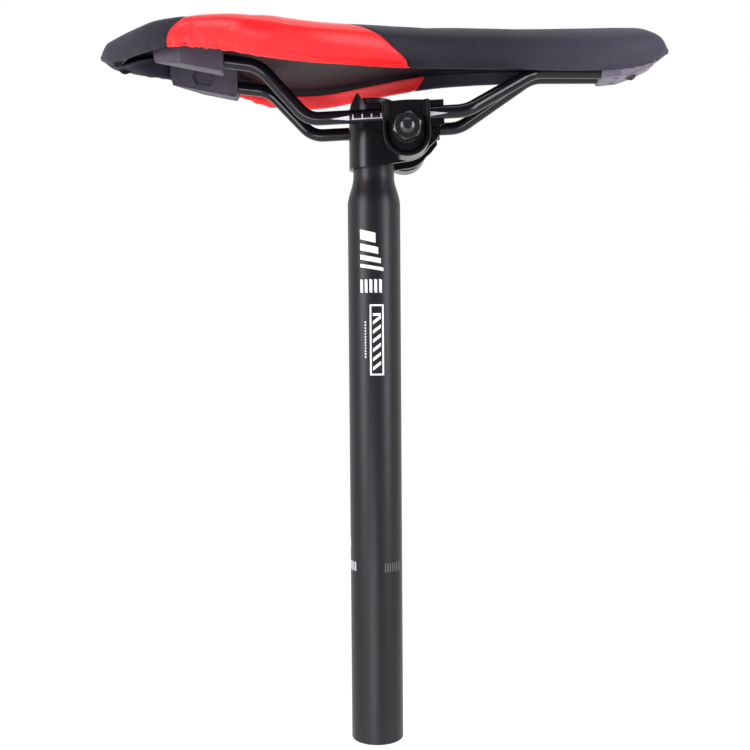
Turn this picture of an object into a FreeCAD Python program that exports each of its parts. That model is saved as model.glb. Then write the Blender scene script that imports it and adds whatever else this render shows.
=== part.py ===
import FreeCAD, Part
import os
import math
from FreeCAD import Vector as V

# Rigid necked bicycle seat pillar with a side-bolt saddle clamp and a railed
# saddle.  Millimetres.  +Z runs up the pillar's axis, +X points to the nose of
# the saddle, +Y is the rider's left.  The origin is on the pillar's axis at
# its lower end.

# ---------------------------------------------------------------- dimensions
POST_LENGTH = 350.0
R_TUBE = 14.3            # 28.6 mm pillar
R_STUB = 11.1            # 22.2 mm (7/8 in) necked top
WALL = 2.3
Z_TAPER_0 = 294.6        # end of the parallel part
Z_TAPER_1 = 309.6        # start of the neck

FIT = 0.05               # running fit, radial
BX, BZ = 17.3, 330.2     # axis of the cross bolt (parallel to Y)
SLOPE = 2.61             # the rails rise towards the nose, degrees
R_RAIL = 3.5
HR = 8.6                 # rail axis above bolt axis, square to the rail
Y_RAIL = 22.0            # half of the rail spacing in the clamp

R_BAND_I = R_STUB + FIT
R_BAND_O = 13.2
Z_BAND_0, Z_BAND_1 = 313.5, 345.6
Z_TONGUE = 353.0
R_EAR = 14.0

R_BOLT = 3.95
BOLT_HALF = 39.0
Y_INNER_0 = 13.5         # inner rail plate, inboard face (crest of its teeth)
Y_PART_I = 21.6          # parting face of the inner rail plate
Y_PART_O = 22.4          # parting face of the outer rail plate
D_HALF = 12.2            # half width of the D-shaped outer plate
D_CENTRE = -2.3          # centre of its lower half round, below the bolt
D_TOP = 13.8
SHEET = 2.2
Y_FOOT = 17.4
Y_SEAT = 28.3            # outer plate face that the washer bears on
Y_RIM = 31.0
WASHER_R, WASHER_T = 7.6, 1.6
NUT_AF, NUT_T = 13.0, 6.5

COVER_T = 1.3
GAP = 0.15
FOAM_GAP = 0.6
BASE_T = 3.0

os.makedirs("parts", exist_ok=True)


def out(shape, name):
    if not shape.isValid():
        shape.fix(1e-5, 1e-5, 1e-4)
    print("%-24s valid %s solids %d volume %.1f" % (name, shape.isValid(), len(shape.Solids), shape.Volume))
    if len(shape.Solids) == 1:
        shape = shape.Solids[0]
    shape.exportStep("parts/%s.step" % name)
    return shape


def mirror(shape):
    return shape.mirror(V(0, 0, 0), V(0, 1, 0))


def to_world(shape):
    # clamp frame (origin on the bolt axis, x along the rails) to the part's frame
    s = shape.copy()
    s.rotate(V(0, 0, 0), V(0, 1, 0), -SLOPE)
    s.translate(V(BX, 0, BZ))
    return s


def cyl_y(r, y0, y1, x=0.0, z=0.0):
    return Part.makeCylinder(r, y1 - y0, V(x, y0, z), V(0, 1, 0))


def box(x0, x1, y0, y1, z0, z1):
    return Part.makeBox(x1 - x0, y1 - y0, z1 - z0, V(x0, y0, z0))


def prism_xz(pts, y0, y1):
    w = Part.makePolygon([V(x, y0, z) for x, z in pts] + [V(pts[0][0], y0, pts[0][1])])
    return Part.Face(w).extrude(V(0, y1 - y0, 0))


def interp(x, table):
    if x <= table[0][0]:
        return table[0][1]
    for (a, p), (b, q) in zip(table, table[1:]):
        if x <= b:
            return p + (q - p) * (x - a) / (b - a)
    return table[-1][1]


# ---------------------------------------------------------------- pillar
def smooth_taper(r0, r1, z0, z1, n=8):
    pts = []
    for i in range(n + 1):
        t = i / n
        s = t * t * (3 - 2 * t)
        pts.append((r0 + (r1 - r0) * s, z0 + (z1 - z0) * t))
    return pts


def make_post():
    c = 0.5
    outer = smooth_taper(R_TUBE, R_STUB, Z_TAPER_0, Z_TAPER_1)
    ri, rs = R_TUBE - WALL, R_STUB - WALL - 0.2
    inner = smooth_taper(ri, rs, Z_TAPER_0 - 2.0, Z_TAPER_1 - 1.0)
    edges = []

    def line(a, b):
        edges.append(Part.LineSegment(V(a[0], 0, a[1]), V(b[0], 0, b[1])).toShape())

    def spline(p, t0, t1):
        bs = Part.BSplineCurve()
        bs.interpolate(Points=[V(a, 0, b) for a, b in p], InitialTangent=t0, FinalTangent=t1)
        edges.append(bs.toShape())

    line((ri + c, 0), (R_TUBE - c, 0))
    line((R_TUBE - c, 0), (R_TUBE, c))
    line((R_TUBE, c), outer[0])
    spline(outer, V(0, 0, 1), V(0, 0, 1))
    line(outer[-1], (R_STUB, POST_LENGTH - c))
    line((R_STUB, POST_LENGTH - c), (R_STUB - c, POST_LENGTH))
    line((R_STUB - c, POST_LENGTH), (rs, POST_LENGTH))
    line((rs, POST_LENGTH), inner[-1])
    spline(inner[::-1], V(0, 0, -1), V(0, 0, -1))
    line(inner[0], (ri, c))
    line((ri, c), (ri + c, 0))
    face = Part.Face(Part.Wire(edges))
    return face.revolve(V(0, 0, 0), V(0, 0, 1), 360)


post = out(make_post(), "post_tube")

# ---------------------------------------------------------------- clamp band
# A steel strap round the neck.  Its two flat ears carry the cross bolt and
# have radial teeth on their outer faces.


def ear_outline(y0, y1):
    # hull of the strap's side and the toothed disc round the bolt
    ax, az = 0.0, Z_BAND_0
    pts_edges = []
    # lower tangent from (ax, az) to the disc
    dx, dz = BX - ax, BZ - az
    L = math.hypot(dx, dz)
    base = math.atan2(dz, dx)
    off = math.asin(R_EAR / L)
    tl = math.sqrt(L * L - R_EAR * R_EAR)
    t_lo = (ax + tl * math.cos(base - off), az + tl * math.sin(base - off))
    bx_, bz_ = 0.0, Z_BAND_1
    dx, dz = BX - bx_, BZ - bz_
    L = math.hypot(dx, dz)
    base = math.atan2(dz, dx)
    off = math.asin(R_EAR / L)
    tl = math.sqrt(L * L - R_EAR * R_EAR)
    t_hi = (bx_ + tl * math.cos(base + off), bz_ + tl * math.sin(base + off))
    right = (BX + R_EAR, BZ)

    def P(p):
        return V(p[0], y0, p[1])

    e = [Part.LineSegment(P((ax, az)), P(t_lo)).toShape(),
         Part.Arc(P(t_lo), P(right), P(t_hi)).toShape(),
         Part.LineSegment(P(t_hi), P((bx_, bz_))).toShape(),
         Part.LineSegment(P((bx_, bz_)), P((ax, az))).toShape()]
    return Part.Face(Part.Wire(e)).extrude(V(0, y1 - y0, 0))


def teeth_cutters(y_face, sign, n=36, depth=0.55, r0=7.0, r1=12.5):
    # V grooves running out from the bolt axis, cut into the face at y_face
    tools = []
    half = math.pi * r1 / n * 0.82
    for i in range(n):
        w = Part.makePolygon([V(r0, y_face + sign * 0.02, -half * r0 / r1), V(r0, y_face + sign * 0.02, half * r0 / r1),
                              V(r0, y_face - sign * depth, 0), V(r0, y_face + sign * 0.02, -half * r0 / r1)])
        w2 = Part.makePolygon([V(r1, y_face + sign * 0.02, -half), V(r1, y_face + sign * 0.02, half),
                               V(r1, y_face - sign * depth, 0), V(r1, y_face + sign * 0.02, -half)])
        t = Part.makeLoft([w, w2], True, True)
        t.rotate(V(0, 0, 0), V(0, 1, 0), 360.0 * i / n)
        tools.append(t)
    return tools


def make_band():
    zt = Z_TONGUE + 3
    ring = Part.makeCylinder(R_BAND_O, zt - Z_BAND_0, V(0, 0, Z_BAND_0))
    # open the strap to the front: the ears carry on from its two sides
    ring = ring.cut(box(0, 30, -20, 20, Z_BAND_0 - 1, zt + 1))
    # upper edge: level, with a pointed tongue on each rear quarter
    pts = [(-30, Z_BAND_1), (-R_BAND_O, Z_BAND_1), (-8.4, Z_TONGUE), (-4.0, Z_BAND_1 + 0.6), (0, Z_BAND_1),
           (1, Z_BAND_1), (1, zt + 2), (-30, zt + 2)]
    ring = ring.cut(prism_xz(pts, 4.5, 20)).cut(prism_xz(pts, -20, -4.5)).cut(box(-30, 1, -4.6, 4.6, Z_BAND_1, zt + 2))
    ear = ear_outline(R_BAND_I, R_BAND_O)
    ears = [ear, mirror(ear)]
    band = ring.fuse(ears)
    band = band.cut(Part.makeCylinder(R_BAND_I, 80, V(0, 0, 300)))
    band = band.cut(cyl_y(R_BOLT + 0.05, -20, 20, BX, BZ))
    tools = []
    for t in teeth_cutters(R_BAND_O, 1):
        t.translate(V(BX, 0, BZ))
        tools.append(t)
        tools.append(mirror(t))
    band = band.cut(tools)
    return band.removeSplitter()


out(make_band(), "clamp_band")

# ---------------------------------------------------------------- cross bolt
# M8 stud, threaded at both ends; each thread is a row of V grooves.


def make_bolt():
    pitch, depth = 1.25, 0.55
    half = [(0.0, 24.0), (R_BOLT, 24.0)]
    y = 24.0
    p = [V(0, 0, 0), V(R_BOLT, 0, 0), V(R_BOLT, y, 0)]
    while y + pitch < BOLT_HALF - 0.9:
        p.append(V(R_BOLT - depth, y + pitch * 0.5, 0))
        p.append(V(R_BOLT, y + pitch * 0.92, 0))
        p.append(V(R_BOLT, y + pitch, 0))
        y += pitch
    p.append(V(R_BOLT - 0.5, BOLT_HALF - 0.6, 0))
    p.append(V(R_BOLT - 1.6, BOLT_HALF, 0))
    p.append(V(0, BOLT_HALF, 0))
    p.append(V(0, 0, 0))
    h = Part.Face(Part.makePolygon(p)).revolve(V(0, 0, 0), V(0, 1, 0), 360)
    b = h.fuse(mirror(h)).removeSplitter()
    b.translate(V(BX, 0, BZ))
    return b


out(make_bolt(), "clamp_bolt")

# ---------------------------------------------------------------- rail plates


def d_wire(half, bottom_r, y, top, dome=0.8):
    # D outline in the clamp frame: domed top, straight sides, half-round below
    e = [Part.Arc(V(-half, y, top), V(0, y, top + dome), V(half, y, top)).toShape(),
         Part.LineSegment(V(half, y, top), V(half, y, D_CENTRE)).toShape(),
         Part.Arc(V(half, y, D_CENTRE), V(0, y, D_CENTRE - bottom_r), V(-half, y, D_CENTRE)).toShape(),
         Part.LineSegment(V(-half, y, D_CENTRE), V(-half, y, top)).toShape()]
    return Part.Wire(e)


def d_solid(half, y0, y1, top, dome=0.8):
    return Part.Face(d_wire(half, half, y0, top, dome)).extrude(V(0, y1 - y0, 0))


def rail_bore(r, x0, x1):
    return Part.makeCylinder(r, x1 - x0, V(x0, Y_RAIL, HR), V(1, 0, 0))


def make_inner():
    # toothed plate with a half-round seat for the rail and a lip over it
    y0, y1 = Y_INNER_0, 16.6
    disc = cyl_y(R_EAR, y0, y1)
    pts = [(-18.0, 9.0), (-18.0, -1.5), (-14.5, -5.5), (-9, -10), (9, -10), (14.5, -5.5), (18.0, -1.5), (18.0, 9.0)]
    skirt = prism_xz(pts, y0, y1)
    trough = rail_bore(6.2, -20.0, 20.0)
    lip = box(-20.0, 20.0, 19.2, Y_PART_I, HR + 2.0, HR + 6.9)
    lip2 = box(-18.0, 18.0, 19.2, Y_PART_I, HR - 6.6, HR - 2.0)
    s = disc.fuse([skirt, trough, lip, lip2])
    s = s.cut(box(-40, 40, Y_PART_I, 40, -40, 40))
    s = s.cut(rail_bore(R_RAIL + FIT, -30, 30))
    s = s.cut(cyl_y(R_BOLT + 0.12, 0, 40))
    s = s.cut(teeth_cutters(y0, -1))
    s = s.removeSplitter()
    return s


def make_outer():
    # dished D-shaped pressing: rail channel, rim that foots on the inner
    # plate, and a sunken face for the washer
    body = d_solid(D_HALF, Y_FOOT, Y_RIM, D_TOP)
    # back cavity
    cav = d_solid(D_HALF - SHEET, Y_FOOT - 1, Y_SEAT - SHEET, 1.8, 0.01)
    body = body.cut(cav)
    # room for the inner plate's rail seat
    body = body.cut(box(-30, 30, 10, Y_PART_O, -4.5, 30))
    # front dish: sloped wall inside the rim, open at the top
    w0 = d_wire(D_HALF - 3.4, D_HALF - 3.4, Y_SEAT, 40)
    w1 = d_wire(D_HALF - 1.2, D_HALF - 1.2, Y_RIM + 0.3, 40)
    body = body.cut(Part.makeLoft([w0, w1], True, True))
    body = body.cut(rail_bore(R_RAIL + FIT, -30, 30))
    body = body.cut(cyl_y(R_BOLT + 0.45, 0, 50))
    # soften the top outer edge
    body = body.removeSplitter()
    return body


inner_l = make_inner()
outer_l = make_outer()
try:
    sel = []
    for e in inner_l.Edges:
        bb = e.BoundBox
        if bb.ZMin > HR + 6.8 and bb.XLength > 30:
            sel.append(e)
    if sel:
        inner_l = inner_l.makeFillet(0.8, sel)
except Exception as ex:
    print("inner fillet skipped", ex)
try:
    sel = []
    for e in outer_l.Edges:
        bb = e.BoundBox
        if bb.YMin > Y_RIM - 0.01 and bb.ZMin < D_TOP:
            sel.append(e)
    outer_l = outer_l.makeFillet(0.35, sel)
except Exception as ex:
    print("outer fillet skipped", ex)
out(to_world(inner_l), "inner_rail_plate_left")
out(to_world(mirror(inner_l)), "inner_rail_plate_right")
out(to_world(outer_l), "outer_rail_plate_left")
out(to_world(mirror(outer_l)), "outer_rail_plate_right")

# ---------------------------------------------------------------- washers, nuts


def make_washer():
    w = cyl_y(WASHER_R, Y_SEAT, Y_SEAT + WASHER_T).cut(cyl_y(R_BOLT + 0.25, 0, 60))
    try:
        w = w.makeChamfer(0.3, [e for e in w.Edges if e.BoundBox.YMin > Y_SEAT + WASHER_T - 0.01 and e.BoundBox.XLength > 12])
    except Exception as ex:
        print("washer chamfer skipped", ex)
    return w


def make_nut():
    y0 = Y_SEAT + WASHER_T
    r = NUT_AF / 2 / math.cos(math.pi / 6)
    pts = [(r * math.cos(math.pi / 3 * i + 0.3), r * math.sin(math.pi / 3 * i + 0.3)) for i in range(6)]
    n = prism_xz(pts, y0, y0 + NUT_T)
    # both ends chamfered by a cone
    for a, b, s in ((y0, y0 + 1.0, 1), (y0 + NUT_T, y0 + NUT_T - 1.0, -1)):
        pass
    prof = [V(0, y0, 0), V(NUT_AF / 2 - 0.1, y0, 0), V(r + 0.3, y0 + 0.75, 0), V(r + 0.3, y0 + NUT_T - 0.75, 0),
            V(NUT_AF / 2 - 0.1, y0 + NUT_T, 0), V(0, y0 + NUT_T, 0), V(0, y0, 0)]
    n = n.common(Part.Face(Part.makePolygon(prof)).revolve(V(0, 0, 0), V(0, 1, 0), 360))
    n = n.cut(cyl_y(R_BOLT + FIT, 0, 60))
    return n


washer, nut = make_washer(), make_nut()
for s in (washer, nut):
    s.translate(V(BX, 0, BZ))
out(washer, "washer_left")
out(mirror(washer), "washer_right")
out(nut, "nut_left")
out(mirror(nut), "nut_right")

# ---------------------------------------------------------------- saddle form
# X station: edge half width, edge height, extra width of the skirt, crown
# support height.
EDGE_W = [(-146.5, 2.6), (-144, 5.2), (-140, 8.6), (-130, 17.2), (-120, 26.6), (-110, 35.2), (-100, 42.3), (-90, 47.6), (-80, 52.4),
          (-70, 56.8), (-60, 59.6), (-50, 59.0), (-40, 56.6), (-30, 53.2), (-20, 48.8), (-10, 43.2), (0, 37.8), (10, 32.6),
          (20, 28.2), (30, 24.9), (40, 22.3), (50, 20.5), (60, 19.1), (70, 18.1), (80, 17.2), (90, 16.2), (100, 14.9),
          (110, 13.6), (120, 12.7), (130, 12.0), (140, 10.4), (150, 7.2), (155, 4.6), (158.5, 2.2)]
EDGE_Z = [(-146.5, 374.2), (-140, 370.6), (-120, 370.4), (-100, 369.4), (-80, 365.8), (-60, 360.8), (-50, 359.2), (-40, 358.5),
          (-30, 358.4), (-10, 359.5), (10, 360.9), (40, 362.7), (70, 363.2), (100, 363.2), (120, 363.6), (130, 364.2),
          (140, 365.8), (150, 369.2), (158.5, 374.0)]
FLARE = [(-146.5, 1.8), (-140, 4.0), (-120, 6.5), (-100, 8.0), (-60, 9.0), (-20, 9.0), (10, 8.2), (40, 7.6), (80, 6.8),
         (120, 7.2), (140, 6.6), (150, 5.4), (158.5, 2.4)]
CROWN = [(-146.5, 379.0), (-144, 381.0), (-140, 383.0), (-130, 387.4), (-120, 390.8), (-110, 394.0), (-100, 395.4), (-90, 396.3),
         (-80, 396.9), (-70, 397.1), (-60, 396.7), (-50, 396.0), (-40, 394.7), (-30, 393.5), (-20, 392.6), (-10, 391.9),
         (0, 391.3), (10, 390.6), (20, 390.1), (30, 389.7), (40, 389.6), (60, 389.1), (80, 388.7), (110, 388.7),
         (130, 388.9), (140, 388.7), (150, 386.0), (155, 383.0), (158.5, 379.6)]
RISE = [(-146.5, 0.2), (-140, 0.6), (-120, 1.6), (-60, 4.0), (0, 3.5), (60, 2.0), (120, 1.2), (150, 0.5), (158.5, 0.1)]
STEP = [(-146.5, 1.0), (-140, 3.5), (-120, 8.6), (-100, 9.0), (-60, 7.4), (0, 6.2), (60, 5.4), (120, 4.4), (150, 2.2), (158.5, 0.6)]
STATIONS = [-146.5, -144, -140, -130, -120, -110, -100, -90, -80, -70, -60, -50, -40, -30, -20, -10, 0, 10, 20, 30, 40, 50,
            60, 75, 90, 105, 120, 130, 140, 148, 154, 158.5]
SUPPORT = 0.292
POWER = 2.35


def crown_height(we, wm, zm, s):
    # centre height for which the section's highest point seen along a line
    # of this slope is s
    lo, hi = zm + 0.5, s
    for _ in range(40):
        zt = 0.5 * (lo + hi)
        best = 0
        for i in range(0, 61):
            f = math.pi / 2 * i / 60
            y = wm * math.cos(f) ** (2 / POWER)
            z = zm + (zt - zm) * math.sin(f) ** (2 / POWER)
            best = max(best, z + SUPPORT * y)
        if best > s:
            hi = zt
        else:
            lo = zt
    return 0.5 * (lo + hi)


def section(x):
    we = interp(x, EDGE_W)
    ze = interp(x, EDGE_Z)
    wm = we + interp(x, FLARE)
    s = interp(x, CROWN)
    zm = ze + 0.46 * (s - 0.292 * wm * 0.5 - ze)
    zt = crown_height(we, wm, zm, s)
    return we, ze, wm, zm, zt


def ease(t):
    t = max(0.0, min(1.0, t))
    return t * t * (3 - 2 * t)


def under(x, y, w, ze):
    # height of the moulded base's lower face: a thin rim at the edge, then a
    # step up to the shell
    k = min(1.0, w / 15.0)
    d = max(0.0, w - abs(y))
    step = interp(x, STEP) * k
    return ze + 0.7 + step * ease((d - 2.0 * k) / (3.8 * k)) + interp(x, RISE) * max(0.0, 1 - (y / max(w, 1)) ** 2)


def over(x, y, w, ze):
    # height of the moulded base's upper face
    k = min(1.0, w / 15.0)
    d = max(0.0, w - abs(y))
    step = interp(x, STEP) * k
    return ze + 0.7 + 2.6 + step * ease((d + 0.4 * k) / (4.4 * k)) + interp(x, RISE) * max(0.0, 1 - (y / max(w, 1)) ** 2)


def half_profile(x, inset, z_min=None):
    # from the lower edge over the shoulder to the crown, moved in by inset
    we, ze, wm, zm, zt = section(x)
    pts = []
    for i in range(0, 6):
        v = i / 6
        pts.append((we + (wm - we) * math.sin(math.pi / 2 * v), ze + (zm - ze) * (1 - math.cos(math.pi / 2 * v)) * 0.55 + (zm - ze) * v * 0.45))
    for i in range(0, 11):
        f = math.pi / 2 * i / 10
        pts.append((wm * max(0.0, math.cos(f)) ** (2 / POWER), zm + (zt - zm) * math.sin(f) ** (2 / POWER)))
    res = []
    n = len(pts)
    for i, (y, z) in enumerate(pts):
        a = pts[max(0, i - 1)]
        b = pts[min(n - 1, i + 1)]
        ty, tz = b[0] - a[0], b[1] - a[1]
        if i == n - 1:
            ty, tz = -1.0, 0.0
        L = math.hypot(ty, tz)
        ny, nz = -tz / L, ty / L
        res.append((max(0.0, y + ny * inset) if i < n - 1 else 0.0, z + nz * inset))
    return res


def curve(pts, x):
    bs = Part.BSplineCurve()
    bs.interpolate([V(x, y, z) for y, z in pts])
    return bs.toShape()


def both_sides(half):
    # half runs edge -> crown on +Y; returns the whole arch from -Y to +Y
    left = [(-y, z) for y, z in half]
    return left + half[::-1][1:]


def loft(wires):
    s = Part.makeLoft(wires, True, False)
    if s.Volume < 0:
        s.reverse()
    return s


def seg(a, b, x):
    return Part.LineSegment(V(x, a[0], a[1]), V(x, b[0], b[1])).toShape()


def cover_wire(x):
    t = min(COVER_T, 0.35 * interp(x, EDGE_W))
    o = both_sides(half_profile(x, 0))
    i = both_sides(half_profile(x, t))
    return Part.Wire([curve(o, x), seg(o[-1], i[-1], x), curve(i[::-1], x), seg(i[0], o[0], x)])


def foam_wire(x):
    we, ze, wm, zm, zt = section(x)
    h = half_profile(x, COVER_T + FOAM_GAP)
    w = we - COVER_T - GAP + 0.1
    z0 = over(x, w, w, ze) + FOAM_GAP + 0.4
    h = [p for p in h if p[1] > z0 + 0.8]
    y0 = max(w + 0.05, h[0][0] - 1.4)
    arch = both_sides([(y0, z0)] + h)
    n = 24
    bottom = [arch[-1]]
    for k in range(1, n):
        y = w * math.cos(math.pi * k / n)
        bottom.append((y, over(x, y, w, ze) + FOAM_GAP))
    bottom.append(arch[0])
    return Part.Wire([curve(arch, x), curve(bottom, x)])


def base_wire(x):
    we, ze, wm, zm, zt = section(x)
    w = we - COVER_T - GAP + 0.1
    lo, hi = [], []
    n = 24
    for k in range(n + 1):
        y = -w * math.cos(math.pi * k / n)
        lo.append((y, under(x, y, w, ze)))
        hi.append((y, over(x, y, w, ze)))
    return Part.Wire([curve(lo, x), seg(lo[-1], hi[-1], x), curve(hi[::-1], x), seg(hi[0], lo[0], x)])


cover = loft([cover_wire(x) for x in STATIONS])
foam = loft([foam_wire(x) for x in STATIONS if -141 <= x <= 150])
base = loft([base_wire(x) for x in STATIONS if -141 <= x <= 150])

# coloured side panels of the cover, one a side, cut out between slanted seams
PANEL = [(-104.5, 340), (-105.5, 372), (-104.3, 380), (-99.5, 391), (-96.5, 412), (-16.0, 412), (-9.0, 389), (5.6, 380),
         (17.0, 366), (24.0, 340)]
PANEL_IN = 24.0
panel_l_tool = prism_xz(PANEL, PANEL_IN, 100)
panel_l = cover.common(panel_l_tool)
panel_r = cover.common(mirror(panel_l_tool))
main = cover.cut([panel_l_tool, mirror(panel_l_tool)])
out(main, "cover_main")
out(panel_l, "side_panel_left")
out(panel_r, "side_panel_right")
out(foam, "foam_pad")

# ---------------------------------------------------------------- rails


def bent_rod(points, radii, r):
    P = [V(*p) for p in points]
    edges = []
    start = P[0]
    length = 0
    for i in range(1, len(P) - 1):
        a, b, c = P[i - 1], P[i], P[i + 1]
        u = (a - b)
        w = (c - b)
        u.normalize()
        w.normalize()
        ang = math.acos(max(-1, min(1, u.dot(w))))
        turn = math.pi - ang
        d = radii[i - 1] * math.tan(turn / 2)
        p0 = b + u * d
        p1 = b + w * d
        bis = (u + w)
        bis.normalize()
        cen = b + bis * (radii[i - 1] / math.cos(turn / 2))
        m = cen - bis * radii[i - 1]
        edges.append(Part.LineSegment(start, p0).toShape())
        length += start.distanceToPoint(p0)
        edges.append(Part.Arc(p0, m, p1).toShape())
        length += radii[i - 1] * turn
        start = p1
    edges.append(Part.LineSegment(start, P[-1]).toShape())
    length += start.distanceToPoint(P[-1])
    path = Part.Wire(edges)
    d0 = P[1] - P[0]
    d0.normalize()
    prof = Part.Wire([Part.Circle(P[0], d0, r).toShape()])
    s = path.makePipeShell([prof], True, False)
    print("rail length %.1f volume ratio %.4f" % (length, s.Volume / (length * math.pi * r * r)))
    return s


ca, sa = math.cos(math.radians(SLOPE)), math.sin(math.radians(SLOPE))


def on_rail(xl):
    # point on the rail's straight part, xl along it from above the bolt
    return (BX + xl * ca - HR * sa, Y_RAIL, BZ + xl * sa + HR * ca)


RAIL_POINTS = [(-97.0, 28.7, 367.4), (-58.5, 27.4, 362.6), on_rail(-51.0), on_rail(31.5), (86.5, 6.0, 364.0), (131.0, 5.2, 363.6)]
RAIL_RADII = [17.0, 13.0, 16.0, 16.0]
rail_l = bent_rod(RAIL_POINTS, RAIL_RADII, R_RAIL)
rail_r = bent_rod([(x, -y, z) for x, y, z in RAIL_POINTS], RAIL_RADII, R_RAIL)

# ---------------------------------------------------------------- base fittings
# rear sockets: moulded blocks under the base that take the rails' rear ends


def make_socket():
    pts = [(-112.5, 365.6), (-77.5, 358.6), (-76.0, 362.0), (-77.5, 392.0), (-112.0, 392.0), (-114.0, 372.5)]
    s = prism_xz(pts, 23.2, 34.0)
    plan = Part.Face(Part.makePolygon([V(-115, 23.0, 350), V(-115, 24.0, 350), V(-98, 33.6, 350), V(-70, 33.6, 350), V(-70, 23.0, 350), V(-115, 23.0, 350)]))
    s = s.common(plan.extrude(V(0, 0, 50)))
    try:
        s = s.makeFillet(1.0, [e for e in s.Edges if e.BoundBox.YLength > 8 and e.BoundBox.ZMax < 375])
    except Exception as ex:
        print("socket fillet skipped", ex)
    # moulded pocket in the inboard face
    pocket = prism_xz([(-99.5, 366.0), (-91.0, 364.8), (-88.5, 369.0), (-90.5, 373.2), (-99.0, 374.2), (-101.5, 370.0)], 22.0, 24.6)
    return s.cut(pocket)


socket = make_socket()

# the block under the base: take the socket and remove what lies above the
# base's lower face, by cutting with the base swept upwards
SCREW_X = 139.0


def base_block_wire(x):
    we, ze, wm, zm, zt = section(x)
    w = we - COVER_T - GAP + 0.1
    lo = []
    n = 24
    for k in range(n + 1):
        y = -w * math.cos(math.pi * k / n)
        lo.append((y, under(x, y, w, ze) - 0.06))
    top = ze + 45
    return Part.Wire([curve(lo, x), seg(lo[-1], (w, top), x), seg((w, top), (-w, top), x), seg((-w, top), lo[0], x)])


base_block = loft([base_block_wire(x) for x in STATIONS if -141 <= x <= 150])
socket = socket.cut(base_block)
socket_r = mirror(socket)
socket = socket.cut(rail_l)
socket_r = socket_r.cut(rail_r)
out(socket, "rear_rail_socket_left")
out(socket_r, "rear_rail_socket_right")

# nose bracket: stepped block that takes the rails' front ends


def make_nose():
    pts = [(122.6, 359.7), (133.0, 360.6), (142.0, 363.4), (149.5, 366.8), (151.5, 369.0), (151.5, 380.0), (121.6, 380.0), (121.6, 361.0)]
    s = prism_xz(pts, -10.4, 10.4)
    # plan taper towards the nose
    plan = Part.Face(Part.makePolygon([V(120, -10.4, 350), V(132, -10.4, 350), V(152, -5.6, 350), V(152, 5.6, 350), V(132, 10.4, 350), V(120, 10.4, 350), V(120, -10.4, 350)]))
    s = s.common(plan.extrude(V(0, 0, 40)))
    try:
        s = s.makeFillet(0.9, [e for e in s.Edges if e.BoundBox.ZMax < 369.5])
    except Exception as ex:
        print("nose fillet skipped", ex)
    s = s.cut(base_block)
    s = s.cut([rail_l, rail_r])
    s = s.cut([Part.makeCylinder(1.8, 40, V(SCREW_X, 0, 350)), Part.makeCylinder(3.2, 14.0, V(SCREW_X, 0, 350))])
    return s


nose = make_nose()
out(nose, "nose_rail_bracket")
# pan-head screw that holds the bracket up into the base
screw = Part.makeCylinder(1.75, 7.2, V(SCREW_X, 0, 363.0)).fuse(Part.makeSphere(3.3, V(SCREW_X, 0, 363.9)).common(Part.makeCylinder(3.1, 3.2, V(SCREW_X, 0, 360.3))))
screw = screw.cut(box(SCREW_X - 0.4, SCREW_X + 0.4, -1.9, 1.9, 359, 361.9)).cut(box(SCREW_X - 1.9, SCREW_X + 1.9, -0.4, 0.4, 359, 361.9))
screw = screw.removeSplitter()
base = base.cut(Part.makeCylinder(1.8, 7.4, V(SCREW_X, 0, 363.0)))
out(base, "saddle_base")
out(rail_l, "rail_left")
out(rail_r, "rail_right")
out(screw, "nose_bracket_screw")

# ---------------------------------------------------------------- staples
# wire staples that hold the turned-under edge of the cover to the base where it is gathered, under the tail
staples = []
for x in (-112, -103, -94, -85, -76):
    we = interp(x, EDGE_W)
    ze = interp(x, EDGE_Z)
    w = we - COVER_T - GAP + 0.1
    we2 = interp(x + 4, EDGE_W)
    ang = math.degrees(math.atan2(we2 - we, 4.0))
    k = min(1.0, w / 15.0)
    y0 = w - 2.6 * k
    y1 = w - 4.6 * k
    z0 = under(x, y0, w, ze)
    z1 = under(x, y1, w, ze)
    lean = math.atan2(z1 - z0, y0 - y1)      # slope of the rim's inner face
    s = box(-4.2, 4.2, -0.35, 0.35, -1.95, -1.35).fuse([box(-4.2, -3.6, -0.35, 0.35, -1.95, -0.5), box(3.6, 4.2, -0.35, 0.35, -1.95, -0.5)])
    s = s.removeSplitter()
    s.rotate(V(0, 0, 0), V(1, 0, 0), -math.degrees(lean))
    s.rotate(V(0, 0, 0), V(0, 0, 1), ang)
    s.translate(V(x, (y0 + y1) / 2, (z0 + z1) / 2))
    staples.append(s)
    staples.append(mirror(s))
out(Part.makeCompound(staples), "cover_staples")
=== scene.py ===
import math
import bpy
import bmesh
import numpy as np
from mathutils import Vector, Matrix, noise


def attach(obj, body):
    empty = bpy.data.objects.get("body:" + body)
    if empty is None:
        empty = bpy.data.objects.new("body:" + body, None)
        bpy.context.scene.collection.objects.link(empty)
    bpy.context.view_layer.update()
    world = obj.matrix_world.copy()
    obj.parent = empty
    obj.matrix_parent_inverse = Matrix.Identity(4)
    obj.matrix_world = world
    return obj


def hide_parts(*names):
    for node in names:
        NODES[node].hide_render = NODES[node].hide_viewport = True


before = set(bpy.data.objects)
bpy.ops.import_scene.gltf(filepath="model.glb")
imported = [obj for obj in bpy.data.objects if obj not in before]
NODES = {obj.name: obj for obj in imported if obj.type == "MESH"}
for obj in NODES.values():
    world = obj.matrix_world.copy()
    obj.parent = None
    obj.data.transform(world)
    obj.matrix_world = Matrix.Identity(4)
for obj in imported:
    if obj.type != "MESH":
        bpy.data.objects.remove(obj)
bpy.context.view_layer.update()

MM = 0.001
COL = bpy.context.scene.collection
bpy.context.scene.view_settings.view_transform = "Standard"

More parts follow.
